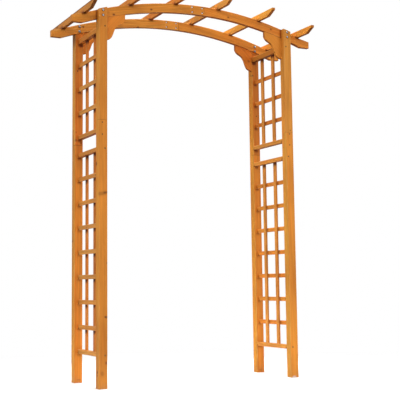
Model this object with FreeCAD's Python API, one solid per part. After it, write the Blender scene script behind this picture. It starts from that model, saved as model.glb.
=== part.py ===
import FreeCAD, Part
import math
import os

from FreeCAD import Vector

# Wooden garden arch: two lattice sides made of spliced square posts, two
# segmental-arch beams let into the post heads, six rafters laid across the
# beams and four ogee brackets. Millimetres, +Z up, +X to the right as seen from
# the front, -Y is the front. The origin is on the ground at the middle of the arch.

# ---- driving dimensions -------------------------------------------------
POST = 48.0              # square section of a post
POST_X = 585.0           # post centre lines, left and right of the middle
POST_Y = 193.0           # post centre lines, front and rear of the middle
POST_ROUND = 2.5         # eased long edges and foot edges of a post
LAP_LOW = 1330.0         # lower shoulder of the post splice
LAP_HIGH = 1417.0        # upper shoulder of the post splice
LAP_EASE = 1.2           # bevel round the end of a splice tongue

ARC_R = 2015.0           # radius of the beam's top edge
ARC_TOP = 2121.5         # height of the top edge at mid span
BEAM_H = 52.5            # depth of a beam at mid span
LOW_R = 2025.0           # radius of the beam's lower edge
BEAM_T = 26.0            # thickness of a beam
BEAM_IN_Y = 163.0        # inner face of a beam, a little proud of the posts
BEAM_HALF = 754.0        # half of the beam's overall length
BEAM_END_TOP = 1985.0    # height of the top corner at the beam's end
BEAM_END_LOW = 1946.5    # level cut under the beam's end
BEAM_STRAIGHT = 690.0    # beyond this the top edge runs straight
BEAM_LAP = 48.0          # half length of the mid-span half lap
BEAM_ROUND = 1.6
SEAM = 0.8               # depth of the V where two halves of a lap meet

RAFTER_X = (-682.0, -411.0, -134.5, 138.5, 408.0, 672.0)
RAFTER_HALF = 360.0      # half length of a rafter
RAFTER_H = 38.0
RAFTER_T = 20.0
RAFTER_SEAT = 4.0        # how far a rafter is let down over the beam's top edge
RAFTER_NOSE = 12.0       # upright part of a rafter's end
RAFTER_CUT = 60.0        # length of the slanting cut under a rafter's end
RAFTER_ROUND = 1.4

BRACKET_T = 18.0
BRACKET_EDGE = (         # ogee edge, outwards from the tip: |x|, z
    (444.5, 1994.0), (446.0, 1984.5), (451.5, 1975.0), (459.0, 1967.0),
    (468.5, 1960.6), (479.0, 1955.0), (489.5, 1948.0), (498.5, 1938.2),
    (506.0, 1925.5), (511.5, 1911.5), (516.0, 1899.0), (521.0, 1888.0),
    (526.5, 1878.5), (534.5, 1871.4), (546.0, 1866.4), (561.0, 1863.0),
)

RAIL = 23.5              # height of a rail
RAIL_TOP_H = 31.0        # height of the top rail
RAIL_D = 27.0            # depth of a rail, from the post's inner face outwards
RAIL_BOTTOM = 172.3      # rail centre heights
RAIL_MID_LOW = 1269.5
RAIL_MID_HIGH = 1373.0
RAIL_TOP = 1933.75
RAIL_ROUND = 1.8

SLAT_W = 24.5            # cross slats
SLAT_T = 7.5
SLAT_BACK = 1.5          # cross slats stand this far behind the rail's outer face
SLAT_HOUSING = 6.0       # cross slats enter the posts by this much
UPRIGHT_W = 27.0         # upright slats
UPRIGHT_T = 10.5
UPRIGHT_Y = 63.0
UPRIGHT_HOUSING = 5.0    # upright slats enter the rails by this much
SLAT_ROUND = 1.2
LOWER_SLATS, LOWER_FIRST, LOWER_PITCH = 7, 307.25, 137.25
UPPER_SLATS, UPPER_FIRST, UPPER_PITCH = 3, 1511.25, 139.25

BOLT_D = 6.0
BOLT_HOLE = 6.5
BOLT_HEIGHTS = (1993.0, 2022.0)
BOLT_SHIFT = {("rear", "right"): (-4.5, -4.0)}     # drilled a little off: x, z
SCREW_D = 4.4            # long wood screw
SCREW_HEAD = 8.6
SCREW_L = 70.0
LAP_SCREW_D = 4.0        # short wood screw
LAP_SCREW_HEAD = 7.8
LAP_SCREW_L = 40.0
LAP_SCREW_Z = (1339.5, 1404.5)
LAP_SCREW_SHIFT = {("front", "left"): (-4.5, -1.5), ("front", "right"): (0.0, 3.5)}
RAIL_SCREW_SHIFT = {("front", "left"): -6.5, ("front", "right"): 4.5}   # in the lower middle rail
SPLICE_D = 4.0
SPLICE_HEAD = 7.6
SPLICE_L = 22.0
SPLICE_X = 32.0
SPLICE_Z = (2081.0, 2109.5)
SINK = 0.6               # screw heads sit this far below the wood
BRAD_D = 1.6
BRAD_HEAD = 3.2
BRAD_L = 12.5

# ---- derived ------------------------------------------------------------
HALF = POST / 2.0
ARC_CZ = ARC_TOP - ARC_R
OUT_X = POST_X + HALF            # outer faces of the sides
IN_X = POST_X - HALF             # inner faces of the sides
OUT_Y = POST_Y + HALF
IN_Y = POST_Y - HALF
BEAM_OUT_Y = BEAM_IN_Y + BEAM_T  # far face of a beam, inside the post head
RAIL_OUT_X = IN_X + RAIL_D
SLAT_OUT_X = RAIL_OUT_X - SLAT_BACK
SLAT_IN_X = SLAT_OUT_X - SLAT_T
UPRIGHT_IN_X = SLAT_IN_X - UPRIGHT_T
RAIL_CX = IN_X + RAIL_D / 2.0
BIG = 5000.0


def arc_z(x):
    """Height of a beam's top edge."""
    return ARC_CZ + math.sqrt(ARC_R * ARC_R - x * x)


def low_z(x):
    """Height of a beam's lower edge."""
    return ARC_TOP - BEAM_H - LOW_R + math.sqrt(LOW_R * LOW_R - x * x)


def span(a, b):
    return (a, b) if a < b else (b, a)


def block(x, y, z):
    return Part.makeBox(x[1] - x[0], y[1] - y[0], z[1] - z[0], Vector(x[0], y[0], z[0]))


def along(shape, axis):
    """Straight edges of a shape that run along one axis."""
    picked = []
    for e in shape.Edges:
        a, b = e.Vertexes[0].Point, e.Vertexes[-1].Point
        d = b.sub(a)
        if d.Length > 1e-6 and abs(abs(d.dot(axis)) / d.Length - 1.0) < 1e-9:
            picked.append(e)
    return picked


def stick(x, y, z, axis, radius):
    """A square-cut stick with its long edges eased."""
    b = block(x, y, z)
    return b.makeFillet(radius, along(b, axis))


X_AXIS, Y_AXIS, Z_AXIS = Vector(1, 0, 0), Vector(0, 1, 0), Vector(0, 0, 1)


def vee(point, out, across, run):
    """A V-shaped groove cutter: its root lies SEAM below the point, open along out."""
    root, over = point.sub(out * SEAM), out * 1.0
    wide = across * (SEAM + 1.0)
    pts = [root, point.add(over).add(wide), point.add(over).sub(wide), root]
    return Part.Face(Part.makePolygon(pts)).extrude(run)


def single(shape):
    shape = shape.removeSplitter() if len(shape.Solids) == 1 else shape
    return shape.Solids[0] if len(shape.Solids) == 1 else shape


# ---- fasteners: made pointing down, with the head's top at the origin ---
def turned(points):
    """Solid of revolution about Z from (radius, z) points, first and last on the axis."""
    pts = [Vector(r, 0, z) for r, z in points]
    wire = Part.makePolygon(pts + [pts[0]])
    return Part.Face(wire).revolve(Vector(0, 0, 0), Z_AXIS, 360)


def screw_body(d, head, length):
    cone = (head - d) / 2.0
    return turned([(0, 0), (head / 2, 0), (head / 2, -0.5), (d / 2, -0.5 - cone),
                   (d / 2, -length + 1.5 * d), (0.25 * d, -length), (0, -length)])


def screw(d, head, length):
    """Countersunk wood screw with a cross recess."""
    body = screw_body(d, head, length)
    a, b, deep = 0.31 * head, 0.065 * head, 1.7
    cross = [(a, b), (b, b), (b, a), (-b, a), (-b, b), (-a, b),
             (-a, -b), (-b, -b), (-b, -a), (b, -a), (b, -b), (a, -b)]
    face = Part.Face(Part.makePolygon([Vector(x, y, -deep) for x, y in cross + cross[:1]]))
    recess = face.extrude(Vector(0, 0, deep + 1.0))
    recess.rotate(Vector(0, 0, 0), Z_AXIS, 20)
    return single(body.cut(recess))


def screw_hole(d, head, length, above):
    """Space that a sunk screw takes, open above its head."""
    return screw_body(d, head, length).fuse(Part.makeCylinder(head / 2, above, Vector(0, 0, 0)))


def aimed(shape, point, direction, roll=0.0):
    """A copy with its head's top at the point, driven along the direction."""
    s = shape.copy()
    if roll:
        s.rotate(Vector(0, 0, 0), Z_AXIS, roll % 90.0)
    rot = FreeCAD.Rotation(Vector(0, 0, -1), direction)
    s.Placement = FreeCAD.Placement(point, rot).multiply(s.Placement)
    return s


def bolt_shape(grip):
    """Round-head bolt with a hex socket; the head's seat is at z = 0."""
    head = turned([(0, 4.0), (2.6, 3.9), (4.4, 3.2), (5.6, 1.9), (6.1, 0.7), (6.1, 0), (0, 0)])
    shank = turned([(0, 0.0), (BOLT_D / 2, 0.0), (BOLT_D / 2, -grip + 0.8),
                    (BOLT_D / 2 - 0.8, -grip), (0, -grip)])
    body = head.fuse(shank)
    hexagon = Part.makePolygon([Vector(2.3 * math.cos(math.radians(60 * i)),
                                       2.3 * math.sin(math.radians(60 * i)), 1.8)
                                for i in range(7)])
    return single(body.cut(Part.Face(hexagon).extrude(Vector(0, 0, 4))))


def nut_shape():
    """Flanged hexagon nut; its seat is at z = 0 and it stands up along +Z."""
    flange = turned([(0, 0), (7.1, 0), (7.1, 0.9), (5.6, 1.7), (0, 1.7)])
    pts = [Vector(5.77 * math.cos(math.radians(60 * i)), 5.77 * math.sin(math.radians(60 * i)), 1.0)
           for i in range(7)]
    hexagon = Part.Face(Part.makePolygon(pts)).extrude(Vector(0, 0, 5.0))
    crown = turned([(0, -1), (7.5, -1), (7.5, 4.6), (4.9, 6.0), (0, 6.0)])
    hole = Part.makeCylinder(BOLT_D / 2 + 0.02, 12, Vector(0, 0, -2))
    return single(flange.fuse(hexagon.common(crown)).cut(hole))


def brad_shape():
    return turned([(0, 0), (BRAD_HEAD / 2, 0), (BRAD_HEAD / 2, -0.7), (BRAD_D / 2, -0.7),
                   (BRAD_D / 2, -BRAD_L + 1.6), (0.2, -BRAD_L), (0, -BRAD_L)])


LONG = screw(SCREW_D, SCREW_HEAD, SCREW_L)
LONG_HOLE = screw_hole(SCREW_D, SCREW_HEAD, SCREW_L, 30.0)
SHORT = screw(LAP_SCREW_D, LAP_SCREW_HEAD, LAP_SCREW_L)
SHORT_HOLE = screw_hole(LAP_SCREW_D, LAP_SCREW_HEAD, LAP_SCREW_L, 3.0)
TINY = screw(SPLICE_D, SPLICE_HEAD, SPLICE_L)
TINY_HOLE = screw_hole(SPLICE_D, SPLICE_HEAD, SPLICE_L, 3.0)
BRAD = brad_shape()
BOLT = bolt_shape(OUT_Y - BEAM_IN_Y + 8.0)
NUT = nut_shape()

parts = {}
long_screws, short_screws, splice_screws, bolts, nuts, brads = [], [], [], [], [], []

SIDES = (("left", -1), ("right", 1))
ENDS = (("front", -1), ("rear", 1))

# ---- beams: one arch profile, split into two halves by a half lap -------
def beam_profile():
    """Closed face of the whole arch in the XZ plane at y = 0."""
    xs, xe = BEAM_STRAIGHT, BEAM_HALF
    xc = math.sqrt(LOW_R ** 2 - (BEAM_END_LOW - ARC_TOP + BEAM_H + LOW_R) ** 2)
    top = Part.Arc(Vector(-xs, 0, arc_z(xs)), Vector(0, 0, ARC_TOP), Vector(xs, 0, arc_z(xs))).toShape()
    low = Part.Arc(Vector(xc, 0, BEAM_END_LOW), Vector(0, 0, ARC_TOP - BEAM_H),
                   Vector(-xc, 0, BEAM_END_LOW)).toShape()
    def line(a, b):
        return Part.makeLine(Vector(a[0], 0, a[1]), Vector(b[0], 0, b[1]))
    edges = [top,
             line((xs, arc_z(xs)), (xe, BEAM_END_TOP)), line((xe, BEAM_END_TOP), (xe, BEAM_END_LOW)),
             line((xe, BEAM_END_LOW), (xc, BEAM_END_LOW)), low,
             line((-xc, BEAM_END_LOW), (-xe, BEAM_END_LOW)), line((-xe, BEAM_END_LOW), (-xe, BEAM_END_TOP)),
             line((-xe, BEAM_END_TOP), (-xs, arc_z(xs)))]
    return Part.Face(Part.Wire(edges))


def eased(solid, radius, test):
    """Round the edges picked by a test; falls back to a bevel, then to plain edges."""
    picked = [e for e in solid.Edges if test(e)]
    for make in ("makeFillet", "makeChamfer"):
        try:
            out = getattr(solid, make)(radius if make == "makeFillet" else radius * 0.6, picked)
            if out.isValid() and len(out.Solids) == 1 and out.Volume < solid.Volume:
                return out.Solids[0]
        except Exception:
            pass
    print("edges left plain on a solid of", round(solid.Volume / 1000.0, 1), "cm3")
    return solid


def in_plane(axis, levels):
    """Edges that lie in one of the planes square to an axis."""
    def test(e):
        b = e.BoundBox
        lo, hi = ((b.XMin, b.XMax), (b.YMin, b.YMax), (b.ZMin, b.ZMax))[axis]
        return hi - lo < 1e-3 and any(abs(lo - v) < 1e-3 for v in levels)
    return test


PROFILE = beam_profile()
whole_beams = {}
for end, sy in ENDS:
    y0, y1 = span(sy * BEAM_IN_Y, sy * BEAM_OUT_Y)
    solid = PROFILE.extrude(Vector(0, BEAM_T, 0))
    solid.translate(Vector(0, y0, 0))
    solid = solid.Solids[0]
    plain = solid.copy()
    solid = eased(solid, BEAM_ROUND, in_plane(1, (y0, y1)))
    ym = (y0 + y1) / 2.0
    # the left half carries the front tongue of the lap, the right half the rear one
    left = solid.cut(block((-BEAM_LAP, BEAM_LAP), (ym, y1 + 5), (0, BIG)))
    left = left.cut(block((BEAM_LAP, BIG), (y0 - 5, y1 + 5), (0, BIG)))
    right = solid.cut(block((-BEAM_LAP, BEAM_LAP), (y0 - 5, ym), (0, BIG)))
    right = right.cut(block((-BIG, -BEAM_LAP), (y0 - 5, y1 + 5), (0, BIG)))
    # the ends of the tongues show as V seams
    for x, y, out in ((BEAM_LAP, y0, Vector(0, -1, 0)), (-BEAM_LAP, y1, Vector(0, 1, 0))):
        seam = vee(Vector(x, y, ARC_TOP - BEAM_H - 40), out, X_AXIS, Vector(0, 0, BEAM_H + 80))
        left, right = left.cut(seam), right.cut(seam)
    # splice screws, driven from the front
    for x in (-SPLICE_X, SPLICE_X):
        for z in SPLICE_Z:
            at, way = Vector(x, y0 + SINK, z), Vector(0, 1, 0)
            hole = aimed(TINY_HOLE, at, way)
            left, right = left.cut(hole), right.cut(hole)
            splice_screws.append(aimed(TINY, at, way, x + z))
    whole_beams[end] = plain
    parts["beam_%s_left" % end] = left
    parts["beam_%s_right" % end] = right

# ---- rafters ------------------------------------------------------------
RAFTER_NAMES = ("far_left", "mid_left", "near_left", "near_right", "mid_right", "far_right")
for name, x in zip(RAFTER_NAMES, RAFTER_X):
    low = arc_z(abs(x)) - RAFTER_SEAT
    top = low + RAFTER_H
    x0 = x - RAFTER_T / 2.0
    pts = [(-RAFTER_HALF, top), (RAFTER_HALF, top), (RAFTER_HALF, top - RAFTER_NOSE),
           (RAFTER_HALF - RAFTER_CUT, low), (-RAFTER_HALF + RAFTER_CUT, low),
           (-RAFTER_HALF, top - RAFTER_NOSE)]
    poly = Part.makePolygon([Vector(x0, y, z) for y, z in pts + pts[:1]])
    rafter = Part.Face(poly).extrude(Vector(RAFTER_T, 0, 0)).Solids[0]
    rafter = eased(rafter, RAFTER_ROUND, in_plane(0, (x0, x0 + RAFTER_T)))
    for end, sy in ENDS:
        y0, y1 = span(sy * BEAM_IN_Y, sy * BEAM_OUT_Y)
        # notch shaped to the beam's top edge
        rafter = rafter.cut(whole_beams[end])
        at, way = Vector(x, (y0 + y1) / 2.0, top - SINK), Vector(0, 0, -1)
        hole = aimed(LONG_HOLE, at, way)
        rafter = rafter.cut(hole)
        beam = "beam_%s_%s" % (end, "left" if x < 0 else "right")
        parts[beam] = parts[beam].cut(hole)
        long_screws.append(aimed(LONG, at, way, x))
    parts["rafter_%s" % name] = rafter

# ---- sides --------------------------------------------------------------
RAILS = (("bottom", RAIL_BOTTOM), ("mid_lower", RAIL_MID_LOW),
         ("mid_upper", RAIL_MID_HIGH), ("top", RAIL_TOP))
for side, sx in SIDES:
    px = span(sx * IN_X, sx * OUT_X)
    posts = {}
    for end, sy in ENDS:
        py = span(sy * IN_Y, sy * OUT_Y)
        outer = span(sy * POST_Y, sy * (OUT_Y + 5))      # half that carries the lower tongue
        inner = span(sy * (IN_Y - 5), sy * POST_Y)
        wide = (px[0] - 5, px[1] + 5)
        lower = block(px, py, (0, LAP_HIGH))
        foot = [e for e in lower.Edges if e.BoundBox.ZMax < 1e-6]
        lower = lower.makeFillet(POST_ROUND, along(lower, Z_AXIS) + foot)
        lower = lower.makeChamfer(LAP_EASE, [e for e in lower.Edges if in_plane(2, (LAP_HIGH,))(e)])
        lower = lower.cut(block(wide, inner, (LAP_LOW, BIG)))
        upper = stick(px, py, (LAP_LOW, ARC_TOP), Z_AXIS, POST_ROUND)
        upper = upper.makeChamfer(LAP_EASE, [e for e in upper.Edges if in_plane(2, (LAP_LOW,))(e)])
        upper = upper.cut(block(wide, outer, (0, LAP_HIGH)))
        # the upright joint of the splice shows as a V seam on both sides
        for x, out in ((px[0], Vector(-1, 0, 0)), (px[1], Vector(1, 0, 0))):
            seam = vee(Vector(x, sy * POST_Y, LAP_LOW), out, Y_AXIS, Vector(0, 0, LAP_HIGH - LAP_LOW))
            lower, upper = lower.cut(seam), upper.cut(seam)
        # head cut level with the beam's top edge
        xi, xo = sx * IN_X, sx * OUT_X
        zi, zo = arc_z(IN_X), arc_z(OUT_X)
        run = (zo - zi) / (xo - xi)
        over = [(xi - sx * 40, zi - run * sx * 40), (xo + sx * 40, zo + run * sx * 40),
                (xo + sx * 40, 2600), (xi - sx * 40, 2600)]
        cap = Part.Face(Part.makePolygon([Vector(a, py[0] - 10, b) for a, b in over + over[:1]]))
        upper = upper.cut(cap.extrude(Vector(0, POST + 20, 0)))
        # housing for the beam
        upper = upper.cut(whole_beams[end])
        # bolts through the post's cheek and the beam, nuts on the inside
        dx, dz = BOLT_SHIFT.get((end, side), (0.0, 0.0))
        for z in BOLT_HEIGHTS:
            x, z = sx * POST_X + dx, z + dz
            at, way = Vector(x, sy * OUT_Y, z), Vector(0, -sy, 0)
            hole = Part.makeCylinder(BOLT_HOLE / 2, POST + 30, Vector(0, 0, -POST - 20))
            hole = aimed(hole, at, way)
            upper = upper.cut(hole)
            beam = "beam_%s_%s" % (end, side)
            parts[beam] = parts[beam].cut(hole)
            bolts.append(aimed(BOLT, at, way, z))
            nut = NUT.copy()
            nut.rotate(Vector(0, 0, 0), X_AXIS, 180)
            nuts.append(aimed(nut, Vector(x, sy * BEAM_IN_Y, z), way, 7.0 * z))
        # splice screws of the post, driven from outside
        dx, dz = LAP_SCREW_SHIFT.get((end, side), (0.0, 0.0))
        for z in LAP_SCREW_Z:
            at = Vector(sx * POST_X + dx, sy * (OUT_Y - SINK), z + dz)
            way = Vector(0, -sy, 0)
            hole = aimed(SHORT_HOLE, at, way)
            lower, upper = lower.cut(hole), upper.cut(hole)
            short_screws.append(aimed(SHORT, at, way, z))
        posts[end] = [lower, upper]
    rails = {}
    for name, z in RAILS:
        tall = (RAIL_TOP_H if name == "top" else RAIL) / 2
        rails[name] = stick(span(sx * IN_X, sx * RAIL_OUT_X), (-IN_Y, IN_Y),
                            (z - tall, z + tall), Y_AXIS, RAIL_ROUND)
        for end, sy in ENDS:
            way = Vector(0, -sy, 0)
            if name == "mid_upper":
                # hidden inside the post splice
                at = Vector(sx * RAIL_CX, sy * (POST_Y - SINK), z)
                hole = aimed(SHORT_HOLE, at, way)
                # only the inner tongue is drilled
                hole = hole.common(block((-BIG, BIG), span(sy * 50, sy * POST_Y), (0, BIG)))
                posts[end][1] = posts[end][1].cut(hole)
                short_screws.append(aimed(SHORT, at, way, 3 * z))
            else:
                dz = RAIL_SCREW_SHIFT.get((end, side), 0.0) if name == "mid_lower" else 0.0
                at = Vector(sx * RAIL_CX, sy * (OUT_Y - SINK), z + dz)
                hole = aimed(LONG_HOLE, at, way)
                i = 0 if z < LAP_LOW else 1
                posts[end][i] = posts[end][i].cut(hole)
                long_screws.append(aimed(LONG, at, way, 3 * z))
            rails[name] = rails[name].cut(hole)
    # lattice: cross slats outside, upright slats inside
    for section, first, pitch, count, low_rail, high_rail, i in (
            ("lower", LOWER_FIRST, LOWER_PITCH, LOWER_SLATS, "bottom", "mid_lower", 0),
            ("upper", UPPER_FIRST, UPPER_PITCH, UPPER_SLATS, "mid_upper", "top", 1)):
        z_low = dict(RAILS)[low_rail] + RAIL / 2 - UPRIGHT_HOUSING
        tall = RAIL_TOP_H if high_rail == "top" else RAIL
        z_high = dict(RAILS)[high_rail] - tall / 2 + UPRIGHT_HOUSING
        uprights = []
        for y in (-UPRIGHT_Y, UPRIGHT_Y):
            u = stick(span(sx * UPRIGHT_IN_X, sx * SLAT_IN_X),
                      (y - UPRIGHT_W / 2, y + UPRIGHT_W / 2), (z_low, z_high), Z_AXIS, SLAT_ROUND)
            for r in (low_rail, high_rail):
                rails[r] = rails[r].cut(u)
            uprights.append(u)
        for n in range(1, count + 1):
            z = first + pitch * (n - 1)
            slat = stick(span(sx * SLAT_IN_X, sx * SLAT_OUT_X),
                         (-IN_Y - SLAT_HOUSING, IN_Y + SLAT_HOUSING),
                         (z - SLAT_W / 2, z + SLAT_W / 2), Y_AXIS, SLAT_ROUND)
            for end, sy in ENDS:
                posts[end][i] = posts[end][i].cut(slat)
            for k, y in enumerate((-UPRIGHT_Y, UPRIGHT_Y)):
                brad = aimed(BRAD, Vector(sx * SLAT_OUT_X, y, z), Vector(-sx, 0, 0))
                slat = slat.cut(brad)
                uprights[k] = uprights[k].cut(brad)
                brads.append(brad)
            parts["cross_slat_%s_%s_%d" % (side, section, n)] = slat
        parts["upright_slats_%s_%s" % (side, section)] = Part.makeCompound([single(u) for u in uprights])
    # ogee brackets under the beams, butted to the posts
    for end, sy in ENDS:
        ym = sy * (IN_Y + BEAM_OUT_Y) / 2.0
        y0 = ym - BRACKET_T / 2.0
        curve = Part.BSplineCurve()
        curve.interpolate([Vector(sx * x, y0, z) for x, z in BRACKET_EDGE])
        first, last = BRACKET_EDGE[0], BRACKET_EDGE[-1]
        top_in, top_out = low_z(first[0]), low_z(last[0])
        xm = (first[0] + last[0]) / 2.0
        arc = Part.Arc(Vector(sx * last[0], y0, top_out), Vector(sx * xm, y0, low_z(xm)),
                       Vector(sx * first[0], y0, top_in)).toShape()
        edges = [curve.toShape(),
                 Part.makeLine(Vector(sx * last[0], y0, last[1]), Vector(sx * last[0], y0, top_out)), arc,
                 Part.makeLine(Vector(sx * first[0], y0, top_in), Vector(sx * first[0], y0, first[1]))]
        bracket = Part.Face(Part.Wire(edges)).extrude(Vector(0, BRACKET_T, 0)).Solids[0]
        faces_y = in_plane(1, (y0, y0 + BRACKET_T))
        bracket = eased(bracket, 1.4, lambda e: faces_y(e) and e.BoundBox.ZMin < 1990)
        # one screw into the post, one up into the beam, heads sunk in the curved edge
        for at, way, target in (
                (Vector(sx * 525.0, ym, 1900.0), Vector(sx, 0, 0), "post"),
                (Vector(sx * 481.0, ym, 1963.0), Vector(0, 0, 1), "beam")):
            hole = aimed(LONG_HOLE, at, way)
            bracket = bracket.cut(hole)
            if target == "post":
                posts[end][1] = posts[end][1].cut(hole)
            else:
                beam = "beam_%s_%s" % (end, side)
                parts[beam] = parts[beam].cut(hole)
            long_screws.append(aimed(LONG, at, way, 11.0))
        parts["bracket_%s_%s" % (end, side)] = bracket
        parts["post_%s_%s_lower" % (end, side)] = posts[end][0]
        parts["post_%s_%s_upper" % (end, side)] = posts[end][1]
    for name, r in rails.items():
        parts["rail_%s_%s" % (side, name)] = r

parts["post_beam_bolts"] = Part.makeCompound(bolts)
parts["post_beam_nuts"] = Part.makeCompound(nuts)
parts["long_wood_screws"] = Part.makeCompound(long_screws)
parts["short_wood_screws"] = Part.makeCompound(short_screws)
parts["beam_splice_screws"] = Part.makeCompound(splice_screws)
parts["lattice_brads"] = Part.makeCompound(brads)

# ---- write one file per piece -------------------------------------------
os.makedirs("parts", exist_ok=True)
for name in sorted(parts):
    shape = single(parts[name])
    if not shape.isValid():
        print("not valid:", name)
    print("%-30s solids %3d volume %10.1f" % (name, len(shape.Solids), shape.Volume))
    shape.exportStep("parts/%s.step" % name)
print(len(parts), "nodes")
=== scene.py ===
import math
import random

import bpy
from mathutils import Matrix, Vector

# Wooden garden arch: orange-brown stained softwood with grain that follows each
# piece, knots, paler worn edges and darker end grain; zinc bolts and screws.

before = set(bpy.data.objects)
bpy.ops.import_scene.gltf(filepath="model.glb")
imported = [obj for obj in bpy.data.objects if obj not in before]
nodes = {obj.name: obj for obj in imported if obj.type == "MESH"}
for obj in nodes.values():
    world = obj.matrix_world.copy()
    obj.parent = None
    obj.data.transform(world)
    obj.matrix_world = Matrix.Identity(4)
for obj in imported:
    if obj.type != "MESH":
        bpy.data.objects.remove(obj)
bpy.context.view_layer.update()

# ---- picture ------------------------------------------------------------
view = bpy.context.scene.view_settings
view.view_transform = "Standard"
view.look = "None"
view.exposure = 0.0
view.gamma = 1.0

CAM_PLACE = Vector((-2.4243, -5.0100, 0.5331))
YAW, PITCH, ROLL = (math.radians(a) for a in (26.365, 6.912, -0.652))
cam_data = bpy.data.cameras.new("camera")
cam_data.sensor_width = 36.0
cam_data.lens = 87.02
cam_data.shift_x = 0.01625
cam_data.shift_y = -0.08125
cam_data.dof.use_dof = False
camera = bpy.data.objects.new("camera", cam_data)
bpy.context.scene.collection.objects.link(camera)
ahead = Vector((math.sin(YAW) * math.cos(PITCH), math.cos(YAW) * math.cos(PITCH), math.sin(PITCH)))
level = Vector((math.cos(YAW), -math.sin(YAW), 0.0))
over = level.cross(ahead)
right = level * math.cos(ROLL) + over * math.sin(ROLL)
upward = over * math.cos(ROLL) - level * math.sin(ROLL)
turn = Matrix((right, upward, -ahead)).transposed()
camera.matrix_world = Matrix.Translation(CAM_PLACE) @ turn.to_4x4()
bpy.context.scene.camera = camera

# ---- light --------------------------------------------------------------
world = bpy.data.worlds.new("studio")
bpy.context.scene.world = world
world.use_nodes = True
back = next(n for n in world.node_tree.nodes if n.type == "BACKGROUND")
back.inputs["Color"].default_value = (1.0, 1.0, 1.0, 1.0)
# soft light that comes mostly from above
sky = world.node_tree.nodes.new("ShaderNodeTexCoord")
height = world.node_tree.nodes.new("ShaderNodeSeparateXYZ")
world.node_tree.links.new(sky.outputs["Generated"], height.inputs[0])
glow = world.node_tree.nodes.new("ShaderNodeValToRGB")
for at in (0.20, 0.46):
    glow.color_ramp.elements.new(at)
for mark, strength in zip(glow.color_ramp.elements, (0.08, 0.10, 0.56, 1.0)):
    mark.color = (strength, strength, strength, 1.0)
raised = world.node_tree.nodes.new("ShaderNodeMath")
raised.operation = "MULTIPLY_ADD"
raised.inputs[1].default_value = 0.5
raised.inputs[2].default_value = 0.5
world.node_tree.links.new(height.outputs[2], raised.inputs[0])
world.node_tree.links.new(raised.outputs[0], glow.inputs[0])
world.node_tree.links.new(glow.outputs[0], back.inputs["Strength"])
# the backdrop itself is plain white
paper = world.node_tree.nodes.new("ShaderNodeBackground")
paper.inputs["Color"].default_value = (1.0, 1.0, 1.0, 1.0)
paper.inputs["Strength"].default_value = 1.0
seen = world.node_tree.nodes.new("ShaderNodeLightPath")
either = world.node_tree.nodes.new("ShaderNodeMixShader")
world_out = next(n for n in world.node_tree.nodes if n.type == "OUTPUT_WORLD")
world.node_tree.links.new(seen.outputs["Is Camera Ray"], either.inputs[0])
world.node_tree.links.new(back.outputs[0], either.inputs[1])
world.node_tree.links.new(paper.outputs[0], either.inputs[2])
world.node_tree.links.new(either.outputs[0], world_out.inputs["Surface"])


def soft_light(name, place, target, size, energy, colour=(1.0, 1.0, 1.0)):
    data = bpy.data.lights.new(name, "AREA")
    data.shape = "RECTANGLE"
    data.size, data.size_y = size
    data.energy = energy
    data.color = colour
    lamp = bpy.data.objects.new(name, data)
    bpy.context.scene.collection.objects.link(lamp)
    lamp.location = place
    lamp.rotation_mode = "QUATERNION"
    lamp.rotation_quaternion = (Vector(target) - Vector(place)).to_track_quat("-Z", "Y")
    return lamp


soft_light("key", (-3.6, -4.2, 4.6), (0.0, 0.0, 1.0), (2.2, 2.2), 88.0)
soft_light("left", (-6.0, -0.5, 2.4), (0.0, 0.0, 1.0), (3.0, 3.0), 34.0)
soft_light("right", (4.2, -5.0, 2.4), (0.0, 0.0, 1.0), (3.0, 3.0), 90.0)
soft_light("top", (0.0, 0.0, 5.6), (0.0, 0.0, 0.0), (4.0, 4.0), 122.0)
pool = soft_light("pool", (0.35, 0.30, 5.2), (0.35, 0.30, 0.0), (0.8, 0.8), 12.0)
pool.data.spread = math.radians(40.0)

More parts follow.
